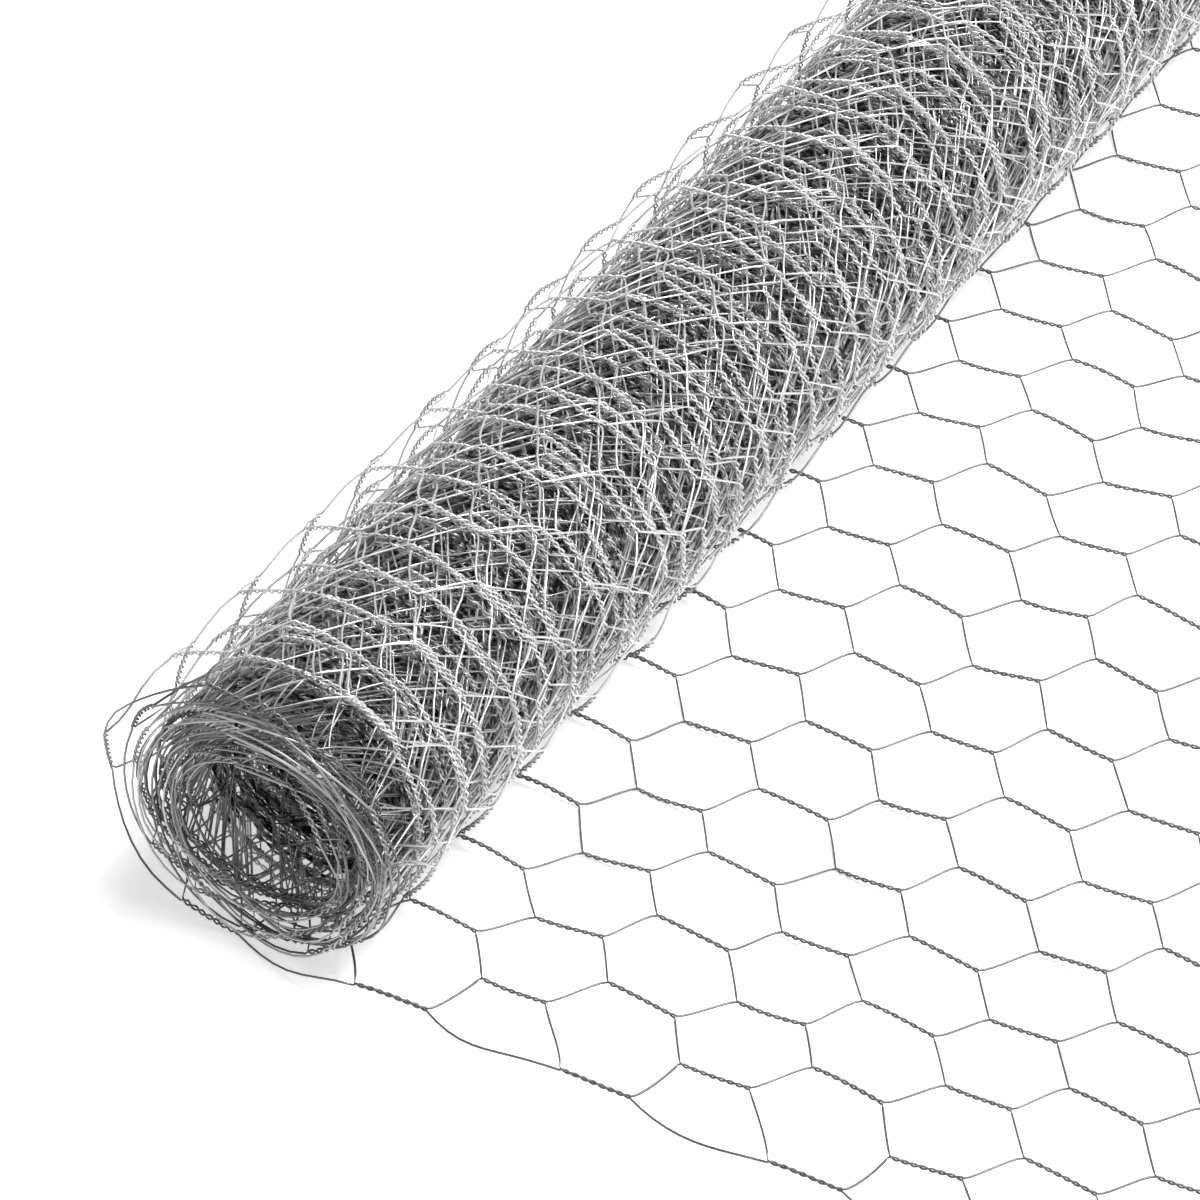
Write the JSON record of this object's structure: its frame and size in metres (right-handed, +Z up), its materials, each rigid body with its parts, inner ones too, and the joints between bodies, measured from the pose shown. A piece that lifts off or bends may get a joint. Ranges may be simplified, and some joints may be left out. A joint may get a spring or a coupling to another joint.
{
  "type": "roll of hexagonal wire netting",
  "caption": "Roll of galvanised hexagonal wire netting lying on its side, hollow along its axis, with the free end unrolled flat beside it; stock for fencing, cages and plant guards.",
  "frame": {"origin": "centre of the footprint on the floor", "axes": "+X along the unrolled end, away from the roll; +Y along the roll's axis; +Z up"},
  "size_m": [0.5516, 0.902, 0.1389],
  "materials": {
    "galvanised_wire": "satin, hot-dip zinc"
  },
  "bodies": {
    "root": {"wound_roll": "galvanised_wire", "unrolled_end": "galvanised_wire"}
  },
  "joints": []
}
